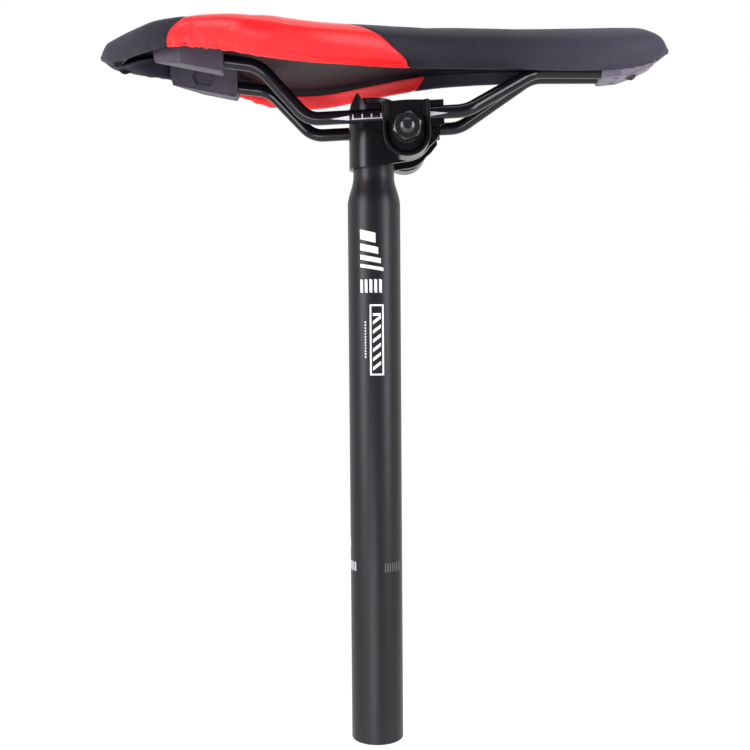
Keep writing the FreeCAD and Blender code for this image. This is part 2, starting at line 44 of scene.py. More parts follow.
# ------------------------------------------------------------------ tables
# Saddle form, millimetres: the same stations as the CAD solids.
EDGE_W = [(-146.5, 2.6), (-144, 5.2), (-140, 8.6), (-130, 17.2), (-120, 26.6), (-110, 35.2), (-100, 42.3), (-90, 47.6), (-80, 52.4),
          (-70, 56.8), (-60, 59.6), (-50, 59.0), (-40, 56.6), (-30, 53.2), (-20, 48.8), (-10, 43.2), (0, 37.8), (10, 32.6),
          (20, 28.2), (30, 24.9), (40, 22.3), (50, 20.5), (60, 19.1), (70, 18.1), (80, 17.2), (90, 16.2), (100, 14.9),
          (110, 13.6), (120, 12.7), (130, 12.0), (140, 10.4), (150, 7.2), (155, 4.6), (158.5, 2.2)]
EDGE_Z = [(-146.5, 374.2), (-140, 370.6), (-120, 370.4), (-100, 369.4), (-80, 365.8), (-60, 360.8), (-50, 359.2), (-40, 358.5),
          (-30, 358.4), (-10, 359.5), (10, 360.9), (40, 362.7), (70, 363.2), (100, 363.2), (120, 363.6), (130, 364.2),
          (140, 365.8), (150, 369.2), (158.5, 374.0)]
FLARE = [(-146.5, 1.8), (-140, 4.0), (-120, 6.5), (-100, 8.0), (-60, 9.0), (-20, 9.0), (10, 8.2), (40, 7.6), (80, 6.8),
         (120, 7.2), (140, 6.6), (150, 5.4), (158.5, 2.4)]
CROWN = [(-146.5, 379.0), (-144, 381.0), (-140, 383.0), (-130, 387.4), (-120, 390.8), (-110, 394.0), (-100, 395.4), (-90, 396.3),
         (-80, 396.9), (-70, 397.1), (-60, 396.7), (-50, 396.0), (-40, 394.7), (-30, 393.5), (-20, 392.6), (-10, 391.9),
         (0, 391.3), (10, 390.6), (20, 390.1), (30, 389.7), (40, 389.6), (60, 389.1), (80, 388.7), (110, 388.7),
         (130, 388.9), (140, 388.7), (150, 386.0), (155, 383.0), (158.5, 379.6)]
RISE = [(-146.5, 0.2), (-140, 0.6), (-120, 1.6), (-60, 4.0), (0, 3.5), (60, 2.0), (120, 1.2), (150, 0.5), (158.5, 0.1)]
STEP = [(-146.5, 1.0), (-140, 3.5), (-120, 8.6), (-100, 9.0), (-60, 7.4), (0, 6.2), (60, 5.4), (120, 4.4), (150, 2.2), (158.5, 0.6)]
POWER = 2.35
SUPPORT = 0.292


def smooth_table(table):
    # monotone cubic through the table's points
    x = np.array([p[0] for p in table], float)
    y = np.array([p[1] for p in table], float)
    h = np.diff(x)
    d = np.diff(y) / h
    m = np.zeros(len(x))
    m[0], m[-1] = d[0], d[-1]
    for i in range(1, len(x) - 1):
        if d[i - 1] * d[i] > 0:
            w1, w2 = 2 * h[i] + h[i - 1], h[i] + 2 * h[i - 1]
            m[i] = (w1 + w2) / (w1 / d[i - 1] + w2 / d[i])

    def f(v):
        v = float(min(max(v, x[0]), x[-1]))
        i = int(min(max(np.searchsorted(x, v) - 1, 0), len(h) - 1))
        t = (v - x[i]) / h[i]
        return float((2 * t**3 - 3 * t**2 + 1) * y[i] + (t**3 - 2 * t**2 + t) * h[i] * m[i]
                     + (-2 * t**3 + 3 * t**2) * y[i + 1] + (t**3 - t**2) * h[i] * m[i + 1])
    return f


f_we, f_ze, f_fl, f_cr, f_ri, f_st = [smooth_table(t) for t in (EDGE_W, EDGE_Z, FLARE, CROWN, RISE, STEP)]


def crown_height(wm, zm, s):
    lo, hi = zm + 0.5, s
    f = np.linspace(0, math.pi / 2, 61)
    yy = wm * np.cos(f) ** (2 / POWER)
    ss = np.sin(f) ** (2 / POWER)
    for _ in range(30):
        zt = 0.5 * (lo + hi)
        best = float(np.max(zm + (zt - zm) * ss + SUPPORT * yy))
        if best > s:
            hi = zt
        else:
            lo = zt
    return 0.5 * (lo + hi)


def section(x):
    we, ze = f_we(x), f_ze(x)
    wm = we + f_fl(x)
    s = f_cr(x)
    zm = ze + 0.46 * (s - 0.292 * wm * 0.5 - ze)
    return we, ze, wm, zm, crown_height(wm, zm, s)


def ease(t):
    t = max(0.0, min(1.0, t))
    return t * t * (3 - 2 * t)


def under(x, y, w, ze):
    k = min(1.0, w / 15.0)
    d = max(0.0, w - abs(y))
    return ze + 0.7 + f_st(x) * k * ease((d - 2.0 * k) / (3.8 * k)) + f_ri(x) * max(0.0, 1 - (y / max(w, 1)) ** 2)


def over(x, y, w, ze):
    k = min(1.0, w / 15.0)
    d = max(0.0, w - abs(y))
    return ze + 3.3 + f_st(x) * k * ease((d + 0.4 * k) / (4.4 * k)) + f_ri(x) * max(0.0, 1 - (y / max(w, 1)) ** 2)


# ------------------------------------------------------------------ helpers
def mesh_object(name, verts, faces, smooth=True):
    me = bpy.data.meshes.new(name)
    me.from_pydata([tuple(v) for v in verts], [], faces)
    me.validate()
    me.update()
    if smooth:
        me.polygons.foreach_set("use_smooth", [True] * len(me.polygons))
    o = bpy.data.objects.new(name, me)
    COL.objects.link(o)
    return o


def fix_normals(o):
    bm = bmesh.new()
    bm.from_mesh(o.data)
    bmesh.ops.recalc_face_normals(bm, faces=bm.faces)
    bm.to_mesh(o.data)
    bm.free()


def apply_modifiers(o):
    dg = bpy.context.evaluated_depsgraph_get()
    me = bpy.data.meshes.new_from_object(o.evaluated_get(dg), preserve_all_data_layers=True, depsgraph=dg)
    old = o.data
    o.modifiers.clear()
    o.data = me
    if old.users == 0:
        bpy.data.meshes.remove(old)


def set_material(o, m):
    o.data.materials.clear()
    o.data.materials.append(m)


# ------------------------------------------------------------------ materials
class Mat:
    """Small helper for node materials in object coordinates."""

    def __init__(self, name):
        self.m = bpy.data.materials.new(name)
        self.m.use_nodes = True
        nt = self.m.node_tree
        nt.nodes.clear()
        self.nt = nt
        self.out = nt.nodes.new("ShaderNodeOutputMaterial")
        self.b = nt.nodes.new("ShaderNodeBsdfPrincipled")
        nt.links.new(self.b.outputs[0], self.out.inputs[0])
        self.co = nt.nodes.new("ShaderNodeTexCoord").outputs["Object"]

    def link(self, a, b):
        self.nt.links.new(a, b)

    def set(self, **kw):
        names = dict(color="Base Color", rough="Roughness", metal="Metallic", ior="IOR", coat="Coat Weight", coat_rough="Coat Roughness",
                     spec="Specular IOR Level", sheen="Sheen Weight", sheen_rough="Sheen Roughness", aniso="Anisotropic", sss="Subsurface Weight",
                     sheen_tint="Sheen Tint")
        for k, v in kw.items():
            s = self.b.inputs[names[k]]
            if k in ("color", "sheen_tint") and len(v) == 3:
                v = (*v, 1)
            s.default_value = v
        return self

    def stretch(self, scale):
        n = self.nt.nodes.new("ShaderNodeMapping")
        n.inputs["Scale"].default_value = scale
        self.link(self.co, n.inputs[0])
        return n.outputs[0]

    def noise(self, scale, detail=3, rough=0.5, co=None, distortion=0.0):
        n = self.nt.nodes.new("ShaderNodeTexNoise")
        n.inputs["Scale"].default_value = scale
        n.inputs["Detail"].default_value = detail
        n.inputs["Roughness"].default_value = rough
        n.inputs["Distortion"].default_value = distortion
        self.link(co or self.co, n.inputs["Vector"])
        return n.outputs["Fac"]

    def voronoi(self, scale, feature="DISTANCE_TO_EDGE", co=None, random=1.0):
        n = self.nt.nodes.new("ShaderNodeTexVoronoi")
        n.feature = feature
        n.inputs["Scale"].default_value = scale
        n.inputs["Randomness"].default_value = random
        self.link(co or self.co, n.inputs["Vector"])
        return n.outputs["Distance"]

    def range(self, v, a, b, c, d, smooth=False):
        n = self.nt.nodes.new("ShaderNodeMapRange")
        if smooth:
            n.interpolation_type = "SMOOTHSTEP"
        for i, q in zip(("From Min", "From Max", "To Min", "To Max"), (a, b, c, d)):
            n.inputs[i].default_value = q
        self.link(v, n.inputs["Value"])
        return n.outputs["Result"]

    def math(self, op, a, b=None):
        n = self.nt.nodes.new("ShaderNodeMath")
        n.operation = op
        for i, q in enumerate((a, b)):
            if q is None:
                continue
            if isinstance(q, (int, float)):
                n.inputs[i].default_value = q
            else:
                self.link(q, n.inputs[i])
        return n.outputs[0]

    def ramp(self, v, stops):
        n = self.nt.nodes.new("ShaderNodeValToRGB")
        cr = n.color_ramp
        while len(cr.elements) < len(stops):
            cr.elements.new(0.5)
        for e, (p, c) in zip(cr.elements, stops):
            e.position = p
            e.color = (*c, 1)
        self.link(v, n.inputs[0])
        return n.outputs[0]

    def mix(self, fac, a, b):
        n = self.nt.nodes.new("ShaderNodeMix")
        n.data_type = "RGBA"
        if isinstance(fac, (int, float)):
            n.inputs[0].default_value = fac
        else:
            self.link(fac, n.inputs[0])
        for sock, q in ((n.inputs[6], a), (n.inputs[7], b)):
            if isinstance(q, tuple):
                sock.default_value = (*q, 1)
            else:
                self.link(q, sock)
        return n.outputs[2]

    def bump(self, height, distance, strength=1.0, prev=None):
        n = self.nt.nodes.new("ShaderNodeBump")
        n.inputs["Strength"].default_value = strength
        n.inputs["Distance"].default_value = distance
        self.link(height, n.inputs["Height"])
        if prev is not None:
            self.link(prev, n.inputs["Normal"])
        self.link(n.outputs[0], self.b.inputs["Normal"])
        return n.outputs[0]

    def pointiness(self):
        n = self.nt.nodes.new("ShaderNodeNewGeometry")
        return n.outputs["Pointiness"]


def vinyl(name, dark, light, rough0, rough1, cell, depth, coat=0.0, spec=0.5, end_sheen=None):
    m = Mat(name).set(spec=spec, coat=coat, coat_rough=0.35)
    edge = m.voronoi(cell)
    cells = m.range(edge, 0.0, 0.22, 0.0, 1.0, smooth=True)
    fine = m.noise(cell * 3.1, 3, 0.6)
    hair = m.voronoi(cell * 0.43)
    crease = m.range(hair, 0.0, 0.06, 0.0, 1.0, smooth=True)
    h = m.math("ADD", m.math("MULTIPLY", cells, 0.6), m.math("ADD", m.math("MULTIPLY", fine, 0.35), m.math("MULTIPLY", crease, 0.25)))
    n1 = m.bump(h, depth)
    slow = m.noise(26, 3, 0.55)
    m.bump(slow, 0.0006, 0.35, prev=n1)
    tone = m.noise(60, 4, 0.6)
    col = m.mix(m.range(tone, 0.3, 0.7, 0.0, 1.0), tuple(dark), tuple(light))
    # painted shade: the creases between the grain's cells are painted darker
    col = m.mix(m.range(cells, 0.0, 0.6, 0.35, 0.0), col, tuple(c * 0.55 for c in dark))
    if end_sheen:
        # painted sheen: the cover is painted a little paler towards the nose and the tail
        sp = m.nt.nodes.new("ShaderNodeSeparateXYZ")
        m.link(m.co, sp.inputs[0])
        end_sheen_mask = m.math("MAXIMUM", m.range(sp.outputs["X"], 0.045, 0.158, 0.0, 1.0, smooth=True), m.range(sp.outputs["X"], -0.100, -0.146, 0.0, 0.6, smooth=True))
        col = m.mix(end_sheen_mask, col, end_sheen)
    m.link(col, m.b.inputs["Base Color"])
    m.link(m.range(m.noise(180, 4, 0.6), 0.3, 0.7, rough0, rough1), m.b.inputs["Roughness"])
    return m.m


def coated_steel(name, color, r0, r1, peel=350, peel_d=0.00003, wear=(0.05, 0.05, 0.055), coat=0.0, spec=0.4):
    m = Mat(name).set(spec=spec, coat=coat, coat_rough=0.10)
    scratch = m.range(m.noise(160, 6, 0.72), 0.60, 0.72, 0.0, 0.55)
    tone = m.noise(70, 3, 0.5)
    col = m.mix(m.range(tone, 0.3, 0.7, 0.0, 1.0), tuple(c * 0.85 for c in color), tuple(c * 1.15 for c in color))
    col = m.mix(scratch, col, tuple(wear))
    m.link(col, m.b.inputs["Base Color"])
    m.link(m.range(m.noise(120, 3, 0.55), 0.3, 0.7, r0, r1), m.b.inputs["Roughness"])
    n1 = m.bump(m.noise(peel, 2, 0.5), peel_d, 0.5)
    m.bump(m.noise(4200, 2, 0.6), 0.000006, 0.5, prev=n1)
    return m.m


def anodised(name):
    m = Mat(name).set(spec=0.34, metal=0.0, coat=0.05, coat_rough=0.30)
    grain = m.noise(5200, 2, 0.65)
    drawn = m.noise(1.0, 3, 0.6, co=m.stretch((900, 900, 14)))
    tone = m.noise(22, 4, 0.6)
    col = m.mix(m.range(tone, 0.3, 0.7, 0.0, 1.0), (0.0034, 0.0032, 0.0050), (0.0048, 0.0045, 0.0068))
    speck = m.range(m.voronoi(2600, feature="F1"), 0.0, 0.16, 1.0, 0.0)
    col = m.mix(m.math("MULTIPLY", speck, 0.25), col, (0.014, 0.014, 0.016))
    m.link(col, m.b.inputs["Base Color"])
    r = m.math("ADD", m.range(grain, 0.3, 0.7, 0.36, 0.44), m.range(drawn, 0.3, 0.7, -0.03, 0.03))
    m.link(r, m.b.inputs["Roughness"])
    n1 = m.bump(grain, 0.000028, 0.8)
    m.bump(drawn, 0.000008, 0.6, prev=n1)
    return m.m


def plastic(name, color, r0, r1, spark=1500, depth=0.00005, spec=0.5):
    m = Mat(name).set(spec=spec)
    tone = m.noise(90, 4, 0.6)
    col = m.mix(m.range(tone, 0.3, 0.7, 0.0, 1.0), tuple(c * 0.82 for c in color), tuple(c * 1.2 for c in color))
    m.link(col, m.b.inputs["Base Color"])
    m.link(m.range(m.noise(300, 4, 0.6), 0.3, 0.7, r0, r1), m.b.inputs["Roughness"])
    n1 = m.bump(m.noise(spark, 4, 0.7), depth, 0.8)
    flow = m.noise(1.0, 3, 0.5, co=m.stretch((30, 140, 140)))
    m.bump(flow, 0.0003, 0.25, prev=n1)
    return m.m


# the black cover gets a painted sheen, paler towards its nose and tail
M_COVER = vinyl("vinyl_black", (0.0125, 0.0115, 0.0180), (0.0165, 0.0152, 0.0230), 0.46, 0.56, 1150, 0.00007, spec=0.17, end_sheen=(0.048, 0.044, 0.064))
M_RED = vinyl("vinyl_red", (0.80, 0.015, 0.018), (0.88, 0.022, 0.026), 0.26, 0.34, 1500, 0.00003, coat=0.06, spec=0.20)
M_CLAMP = coated_steel("ecoat_steel", (0.0028, 0.0026, 0.0040), 0.25, 0.33, wear=(0.020, 0.019, 0.024), coat=0.10, spec=0.26)
M_FAST = coated_steel("black_zinc", (0.009, 0.009, 0.011), 0.20, 0.30, peel=800, peel_d=0.00001, wear=(0.06, 0.06, 0.065), spec=0.6)
M_RAIL = coated_steel("rail_lacquer", (0.0040, 0.0038, 0.0060), 0.12, 0.17, peel=240, peel_d=0.00002, wear=(0.009, 0.009, 0.010), coat=0.0, spec=0.30)
M_POST = anodised("anodised_black")
M_BASE = plastic("base_polypropylene", (0.0044, 0.0042, 0.0070), 0.40, 0.52, spec=0.13)
M_SOCKET = plastic("socket_nylon", (0.062, 0.055, 0.073), 0.36, 0.46, spec=0.20)
M_BRACKET = plastic("bracket_nylon", (0.110, 0.098, 0.130), 0.32, 0.42, spark=900, depth=0.00004, spec=0.35)


def simple_foam():
    m = Mat("foam_cells")
    v = m.voronoi(900, feature="F1")
    m.link(m.mix(m.range(v, 0, 0.6, 0, 1), (0.62, 0.58, 0.46), (0.76, 0.72, 0.60)), m.b.inputs["Base Color"])
    m.link(m.range(m.noise(300, 3), 0.3, 0.7, 0.85, 0.98), m.b.inputs["Roughness"])
    m.bump(v, 0.0004, 0.8)
    return m.m


def bright_wire():
    m = Mat("bright_wire").set(metal=1.0)
    m.link(m.mix(m.noise(700, 4), (0.10, 0.10, 0.11), (0.24, 0.24, 0.25)), m.b.inputs["Base Color"])
    m.link(m.range(m.noise(1500, 3), 0.3, 0.7, 0.24, 0.42), m.b.inputs["Roughness"])
    m.bump(m.noise(2500, 2), 0.00001, 0.6)
    return m.m


def ink(name, color, r=0.45):
    m = Mat(name).set(spec=0.45)
    wornn = m.range(m.noise(1400, 5, 0.7), 0.36, 0.48, 0.75, 1.0)
    col = m.mix(wornn, tuple(c * 0.55 for c in color), tuple(color))
    m.link(col, m.b.inputs["Base Color"])
    m.link(m.range(m.noise(700, 4), 0.3, 0.7, r - 0.06, r + 0.08), m.b.inputs["Roughness"])
    m.bump(m.noise(3800, 3), 0.00001, 0.7)
    return m.m


M_FOAM = simple_foam()
M_WIRE = bright_wire()
M_INK = ink("white_ink", (0.83, 0.83, 0.84))
M_INK_SCALE = ink("scale_ink", (0.52, 0.51, 0.54))
M_INK_DIM = ink("grey_ink", (0.10, 0.10, 0.105))

for node, m in {
    "post_tube": M_POST, "clamp_band": M_CLAMP, "clamp_bolt": M_FAST,
    "inner_rail_plate_left": M_CLAMP, "inner_rail_plate_right": M_CLAMP,
    "outer_rail_plate_left": M_CLAMP, "outer_rail_plate_right": M_CLAMP,
    "washer_left": M_FAST, "washer_right": M_FAST, "nut_left": M_FAST, "nut_right": M_FAST,
    "rail_left": M_RAIL, "rail_right": M_RAIL, "saddle_base": M_BASE,
    "rear_rail_socket_left": M_SOCKET, "rear_rail_socket_right": M_SOCKET,
    "nose_rail_bracket": M_BRACKET, "nose_bracket_screw": M_FAST,
    "cover_staples": M_WIRE, "foam_pad": M_FOAM, "cover_main": M_COVER,
    "side_panel_left": M_RED, "side_panel_right": M_RED}.items():
    set_material(NODES[node], m)

# ------------------------------------------------------------------ cover
X_TAIL, X_NOSE = -146.7, 159.3
N_COL = 168
HEM, SIDE = 11, 30          # points of one half profile


def resample(pts, n):
    p = np.array(pts, float)
    d = np.r_[0, np.cumsum(np.hypot(*np.diff(p, axis=0).T))]
    # smooth the polyline: Catmull-Rom, then even arc length
    fine = []
    for i in range(len(p) - 1):
        a, b, c, e = p[max(i - 1, 0)], p[i], p[i + 1], p[min(i + 2, len(p) - 1)]
        for t in np.linspace(0, 1, 8, endpoint=False):
            fine.append(0.5 * ((2 * b) + (c - a) * t + (2 * a - 5 * b + 4 * c - e) * t * t + (-a + 3 * b - 3 * c + e) * t**3))
    fine.append(p[-1])
    q = np.array(fine)
    d = np.r_[0, np.cumsum(np.hypot(*np.diff(q, axis=0).T))]
    s = np.linspace(0, d[-1], n)
    return np.stack([np.interp(s, d, q[:, 0]), np.interp(s, d, q[:, 1])], 1)


TAIL_END, NOSE_END = (-141.0, -147.0, 372.4, 1.10, 0.6), (153.8, 159.5, 374.9, 1.7, 0.55)


def half_profile(x, inset=0.0, hold=False):
    """Hem end -> lower edge -> shoulder -> crown, on +Y, and the distance of each point above the lower edge."""
    xc, shrink, wide, zmid = x, 1.0, 1.0, 0.0
    for x0, x1, z0, p1, p2 in (TAIL_END, NOSE_END):
        u = (x - x0) / (x1 - x0)
        if u > 0:
            zmid = z0
            shrink = max(0.42, max(0.0, 1 - min(u, 1.0) ** p1) ** p2)
            wide = max(0.45, max(0.0, 1 - min(u, 1.0) ** 2.2) ** 0.5)
    xc = min(max(xc, -146.3), 158.3)
    we, ze, wm, zm, zt = section(xc)
    w = max(we - 1.35, 0.6)
    k = max(0.08, min(1.0, w / 15.0))
    # the turned-up edge is deeper under the tail
    t = ease((-78.0 - xc) / 16.0) if xc < 0 else ease((xc - 95.0) / 20.0)
    e1, e2 = 5.05 + 1.35 * t, 4.6 + 0.6 * t
    hem = [(w - e1 * k, under(xc, w - e1 * k, w, ze) - 1.15 * k),
           (w - e2 * k, under(xc, w - e2 * k, w, ze) - 1.2 * k),
           (w - 4.0 * k, under(xc, w - 3.7 * k, w, ze) - 1.15 * k),
           (w - 3.3 * k, under(xc, w - 2.6 * k, w, ze) - 0.3 * k),
           (w - 2.7 * k, ze + 0.25),
           (w - 1.3 * k, ze - 0.45 * k),
           (we + 0.0, ze - 0.30 * k),
           (we + 0.50, ze + 0.40)]
    # under the very ends the cover closes right across
    shut = max(ease((-121.0 - x) / 19.0), ease((x - 149.5) / 3.0))
    if shut > 0:
        flat = [(0.0, ze - 0.3), (0.22 * w, ze - 0.35), (0.44 * w, ze - 0.4), (0.62 * w, ze - 0.45), (0.78 * w, ze - 0.5),
                (w - 1.3 * k, ze - 0.45 * k), (we + 0.0, ze - 0.30 * k), (we + 0.50, ze + 0.40)]
        hem = [(a[0] + (b[0] - a[0]) * shut, a[1] + (b[1] - a[1]) * shut) for a, b in zip(hem, flat)]
    skirt = []
    for i in range(0, 7):
        v = i / 7
        skirt.append((we + 0.4 * (1 - v) + (wm - we) * math.sin(math.pi / 2 * v),
                      ze + (zm - ze) * (1 - math.cos(math.pi / 2 * v)) * 0.55 + (zm - ze) * v * 0.45))
    for i in range(0, 15):
        f = math.pi / 2 * i / 14
        skirt.append((wm * max(0.0, math.cos(f)) ** (2 / POWER), zm + (zt - zm) * math.sin(f) ** (2 / POWER)))
    skirt[0] = (we + 0.62, ze + 0.5)
    a = resample(hem, HEM)
    b = resample([hem[-1]] + skirt[1:], SIDE)
    q = np.vstack([a, b[1:]])
    edge = HEM - 2
    d = np.r_[0, np.cumsum(np.hypot(*np.diff(q, axis=0).T))]
    dist = d - d[edge]
    # inset along the profile's normal
    t = np.gradient(q, axis=0)
    L = np.hypot(t[:, 0], t[:, 1]) + 1e-9
    n = np.stack([t[:, 1] / L, -t[:, 0] / L], 1)
    n[-1] = (0, 1)
    # hold: the part turned under stays on its edge, whatever the inset
    grow = np.clip((dist + 1.0) / 2.6, 0.0, 1.0) if hold else np.ones(len(q))
    q = q - n * (inset * min(1.0, max(k, 0.2)) * grow)[:, None]
    q[-1, 0] = 0
    if shrink < 1:
        q[:, 0] *= wide
        q[:, 1] = zmid + (q[:, 1] - zmid) * shrink
        dist = dist * shrink
    q[:, 0] = np.maximum(q[:, 0], 0)
    if shut >= 1:
        q[0, 0] = 0
    return q, dist


def cover_grid(inset=0.0, n_col=N_COL):
    inner = np.linspace(-141.0, 151.0, n_col - 16)
    a = np.linspace(0, math.pi / 2, 9)[:-1]
    xs = np.r_[-141.0 - 5.4 * np.cos(a), inner, (151.0 + 8.0 * np.cos(a))[::-1]]
    P, D = [], []
    for x in xs:
        q, d = half_profile(float(x), inset, True)
        # a little fuller round the tail, where the edge is folded over itself
        full = 0.8 * ease((-116.0 - float(x)) / 10.0) * ease((float(x) + 147.0) / 5.0)
        low = np.clip((3.0 - np.array(d)) / 3.0, 0.0, 1.0)
        rim = np.clip((3.0 - np.abs(np.array(d))) / 3.0, 0.0, 1.0)
        a = np.stack([q[:, 0] + 0.7 * full * rim, q[:, 1] - full * low], 1)
        b = np.stack([q[:, 0] + 0.3 * full * rim, q[:, 1] - 0.35 * full * low], 1)
        a[-1, 0] = b[-1, 0] = 0.0
        if q[0, 0] == 0:
            b[0] = a[0]
        ring = [(x, y, z) for y, z in a] + [(x, -y, z) for y, z in b[::-1][1:]]
        P.append(ring)
        D.append(list(d) + list(d[::-1][1:]))
    return np.array(P), np.array(D)


def grid_mesh(name, P, D):
    n, r = P.shape[:2]
    verts = [Vector(p) * MM for p in P.reshape(-1, 3)]
    faces = []
    for i in range(n - 1):
        for j in range(r - 1):
            a = i * r + j
            faces.append((a, a + 1, a + r + 1, a + r))
    # close both ends with a fan to a pole
    for i in (0, n - 1):
        c = Vector(P[i].mean(0)) * MM
        c.x += (-0.0005 if i == 0 else 0.0004)
        verts.append(c)
        ci = len(verts) - 1
        for j in range(r - 1):
            a = i * r + j
            faces.append((a, ci, a + 1) if i == 0 else (a, a + 1, ci))
    o = mesh_object(name, verts, faces)
    at = o.data.attributes.new("edge_d", "FLOAT", "POINT")
    v = np.r_[D.reshape(-1), 0, 0].astype(np.float32)
    at.data.foreach_set("value", v)
    fix_normals(o)
    return o


def cloth_swell(o, pinned, cap, shape, frames=18, pressure=4.0):
    """Inflates o against its pinned points, keeps at most cap of the movement, and settles it half way to shape."""
    rest = np.empty(len(o.data.vertices) * 3)
    o.data.vertices.foreach_get("co", rest)
    rest = rest.reshape(-1, 3)
    vg = o.vertex_groups.new(name="pin")
    for i, wgt in pinned.items():
        vg.add([i], wgt, "REPLACE")
    md = o.modifiers.new("cloth", "CLOTH")
    st = md.settings
    st.quality = 4
    st.mass = 0.25
    st.tension_stiffness = 22
    st.compression_stiffness = 14
    st.shear_stiffness = 8
    st.bending_stiffness = 0.6
    st.use_pressure = True
    st.uniform_pressure_force = pressure
    st.effector_weights.gravity = 0
    st.vertex_group_mass = "pin"
    md.collision_settings.use_collision = False
    md.collision_settings.use_self_collision = False
    sc = bpy.context.scene
    md.point_cache.frame_start, md.point_cache.frame_end = 1, frames
    for f in range(1, frames + 1):
        sc.frame_set(f)
    dg = bpy.context.evaluated_depsgraph_get()
    e = o.evaluated_get(dg)
    co = np.empty(len(o.data.vertices) * 3)
    e.data.vertices.foreach_get("co", co)
    co = co.reshape(-1, 3)
    o.modifiers.clear()
    sc.frame_set(1)
    d = co - rest
    d[~np.isfinite(d).all(1)] = 0
    L = np.linalg.norm(d, axis=1, keepdims=True) + 1e-12
    d = d * (cap * np.tanh(L / cap) / L)
    new = rest + d
    # the stretched foam gives back part of it
    n = len(shape)
    new[:n] = shape + 0.5 * (new[:n] - shape)
    o.data.vertices.foreach_set("co", new.reshape(-1))
    o.data.update()
    o.vertex_groups.clear()
    return float(L.max())


P, D = cover_grid(inset=0.9)
cover = grid_mesh("cover_work", P, D)
n_col, n_ring = P.shape[:2]
pins = {}
flat = D.reshape(-1)
for i, d in enumerate(flat):
    c = i // n_ring
    x = P.reshape(-1, 3)[i, 0]
    if d < -1.0 or c in (0, n_col - 1) or (d < 2.5 and x < -104):
        pins[i] = 1.0
    elif d < 1.5:
        # held at each staple, looser between two of them
        pins[i] = 0.55 + 0.45 * math.cos(2 * math.pi * x / 9.0) ** 2
pins[len(flat)] = pins[len(flat) + 1] = 1.0
P2, _ = cover_grid(inset=0.0)
moved = cloth_swell(cover, pins, 0.0014, P2.reshape(-1, 3) * MM)
print("cover swell", moved)

sub = cover.modifiers.new("sub", "SUBSURF")
sub.levels = sub.render_levels = 1
apply_modifiers(cover)

# wrinkles and puckers of the stretched vinyl above its stapled edge
co = np.empty(len(cover.data.vertices) * 3)
cover.data.vertices.foreach_get("co", co)
co = co.reshape(-1, 3)
no = np.empty(len(cover.data.vertices) * 3)
cover.data.vertices.foreach_get("normal", no)
no = no.reshape(-1, 3)
ed = np.empty(len(cover.data.vertices), np.float32)
cover.data.attributes["edge_d"].data.foreach_get("value", ed)


def bell(x, c, s):
    return math.exp(-((x - c) / s) ** 2)


CREASES = [  # x at the edge, lean (mm forward per mm up), reach up, width, depth
    (-101.0, 0.10, 9.0, 1.8, 0.55), (-93.5, 0.25, 12.0, 2.2, 0.80), (-85.0, 0.10, 8.0, 1.8, 0.60), (-76.5, 0.45, 15.0, 2.4, 1.00),
    (-68.0, 0.35, 9.0, 2.0, 0.65), (-60.5, 0.20, 8.0, 2.0, 0.55), (-50.0, 0.15, 6.0, 2.0, 0.35), (-112.0, -0.1, 7.0, 2.0, 0.35),
    (-124.0, -0.2, 6.0, 2.0, 0.30), (136.0, -0.3, 5.0, 1.5, 0.45), (141.5, -0.35, 6.0, 1.5, 0.60), (146.5, -0.4, 5.0, 1.4, 0.50),
    (151.0, -0.4, 4.0, 1.3, 0.40)]
for i in range(len(co)):
    x, y, z = co[i] * 1000
    d = float(ed[i])
    sgn = 1 if y > 0 else -1
    amp = 0.10 + 0.55 * bell(x, -80, 26) + 0.22 * bell(x, -128, 14) + 0.30 * bell(x, 146, 9)
    fall = math.exp(-max(0.0, d) / 4.2) * (1.0 if d > -1 else max(0.15, 1 + (d + 1) * 0.25))
    ph = 1.7 * noise.noise((x * 0.05, sgn * 3.0, 0.3))
    wv = math.sin(2 * math.pi * (x / 7.4 + ph)) + 0.45 * math.sin(2 * math.pi * (x / 3.9 + 1.3 * ph + 0.3 * sgn))
    side = (1.0 if sgn < 0 else 0.6) * ease((x + 146.5) / 8) * ease((159.0 - x) / 5)
    disp = 0.50 * amp * fall * wv * side
    for cx, lean, reach, wid, dep in CREASES:
        cxx = cx + (2.3 if sgn > 0 else 0.0)
        if abs(x - cxx) < 14 and -1.5 < d < reach * 1.6:
            u = (x - cxx - lean * max(d, 0)) / wid
            ridge = -math.exp(-u * u) + 0.55 * math.exp(-((u - 2.0) ** 2)) + 0.35 * math.exp(-((u + 2.1) ** 2))
            disp += dep * ridge * math.exp(-(max(d, 0) / reach) ** 2 * 1.2) * 0.95 * side
    # broad, low unevenness of the foam under the skin
    disp += 0.16 * noise.noise((x * 0.028, y * 0.04, z * 0.04 + 7)) * ease((d + 1) / 8)
    co[i] += no[i] * disp * MM
cover.data.vertices.foreach_set("co", co.reshape(-1))
cover.data.update()

# seams between the black cover and the red side panels
SEAM_REAR = smooth_table([(355, -106.5), (366, -104.8), (370.3, -103.4), (373, -102.0), (375.4, -99.8), (378.2, -95.4), (381, -91.8), (385, -87.5), (390, -83.0), (397, -77.0)])
SEAM_FRONT = smooth_table([(352, 19.5), (360, 18.6), (362, 18.0), (363.4, 16.9), (364.8, 15.2), (366.6, 12.7), (368.9, 9.6), (371.3, 6.6), (373.4, 3.6), (375.0, 0.7),
                           (376.1, -1.8), (378, -7.0), (381, -15.0), (385, -24.0), (390, -34.0), (397, -44.0)])


